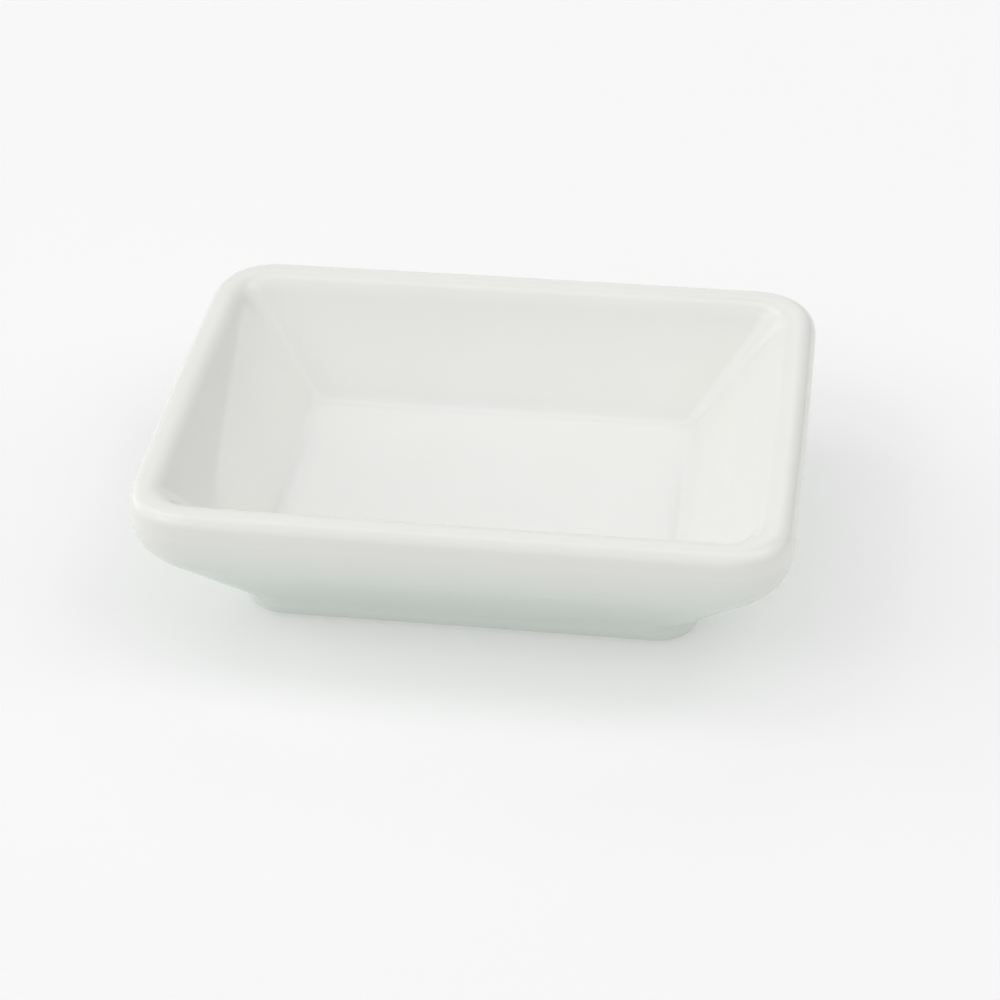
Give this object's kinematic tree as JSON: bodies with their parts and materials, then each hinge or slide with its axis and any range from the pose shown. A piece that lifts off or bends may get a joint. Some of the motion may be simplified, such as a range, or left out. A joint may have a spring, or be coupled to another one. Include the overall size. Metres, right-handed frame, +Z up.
{
  "type": "soy sauce dish",
  "caption": "Small rectangular dish of white glazed porcelain with a rolled rim, sloping sides and a raised foot, for soy sauce or another dip.",
  "frame": {"origin": "on the table plane, under the middle of the dish", "axes": "+X along the dish's length, +Y across its width, +Z up"},
  "size_m": [0.095, 0.07, 0.0255],
  "materials": {
    "porcelain": "bare fired porcelain, fine matte",
    "glaze": "clear gloss glaze over white porcelain, faintly green where it lies thick"
  },
  "bodies": {
    "root": {"porcelain_body": "porcelain", "glaze_coat": "glaze", "underside_glaze": "glaze"}
  },
  "joints": []
}
